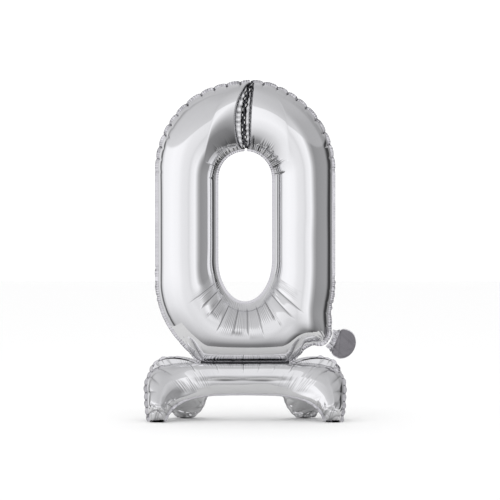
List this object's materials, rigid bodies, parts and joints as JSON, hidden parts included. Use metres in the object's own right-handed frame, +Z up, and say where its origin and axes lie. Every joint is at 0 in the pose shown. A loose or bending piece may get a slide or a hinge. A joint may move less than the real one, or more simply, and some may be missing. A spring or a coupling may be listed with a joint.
{
  "type": "foil number balloon",
  "caption": "Self-standing air-filled foil balloon in the shape of the digit 0, on a splayed base of arched inflated pads, with a filling tail at one side.",
  "frame": {"origin": "on the floor under the middle of the whole outline", "axes": "+Z up, the face of the 0 towards -Y, +X to the right as the 0 is read"},
  "size_m": [0.4611, 0.1501, 0.738],
  "materials": {
    "foil": "mirror-bright metallised film, slightly creased",
    "welded_foil": "bright metallised film, heat welded and puckered",
    "tail_foil": "dull metallised film",
    "valve_film": "clear thin film"
  },
  "bodies": {
    "digit": {"digit_front_film": "foil", "digit_back_film": "foil", "digit_outer_seam": "welded_foil", "counter_seam": "welded_foil", "crown_weld": "welded_foil", "neck_weld": "welded_foil", "valve_sleeve_front": "valve_film", "valve_sleeve_back": "valve_film"},
    "fill_tail": {"tail_front_foil": "tail_foil", "tail_back_foil": "tail_foil"},
    "front_pad": {"front_pad_outer_film": "foil", "front_pad_inner_film": "foil", "front_pad_seam": "welded_foil", "front_foot_welds": "welded_foil"},
    "rear_pad": {"rear_pad_outer_film": "foil", "rear_pad_inner_film": "foil", "rear_pad_seam": "welded_foil", "rear_foot_welds": "welded_foil"}
  },
  "joints": [
    {"name": "front_pad_fold", "type": "hinge", "parent": "digit", "child": "front_pad", "pos_m": [-0.01052, 0, 0.121], "axis": [-1, 0, 0], "range_deg": [-3, 10], "stiffness_Nm_per_rad": 1.2},
    {"name": "rear_pad_fold", "type": "hinge", "parent": "digit", "child": "rear_pad", "pos_m": [-0.01052, 0, 0.121], "axis": [1, 0, 0], "range_deg": [-3, 10], "stiffness_Nm_per_rad": 1.2},
    {"name": "tail_flap", "type": "hinge", "parent": "digit", "child": "fill_tail", "pos_m": [0.17548, 0, 0.176], "axis": [0.3907, 0, 0.9205], "range_deg": [-60, 60], "stiffness_Nm_per_rad": 0.002}
  ]
}
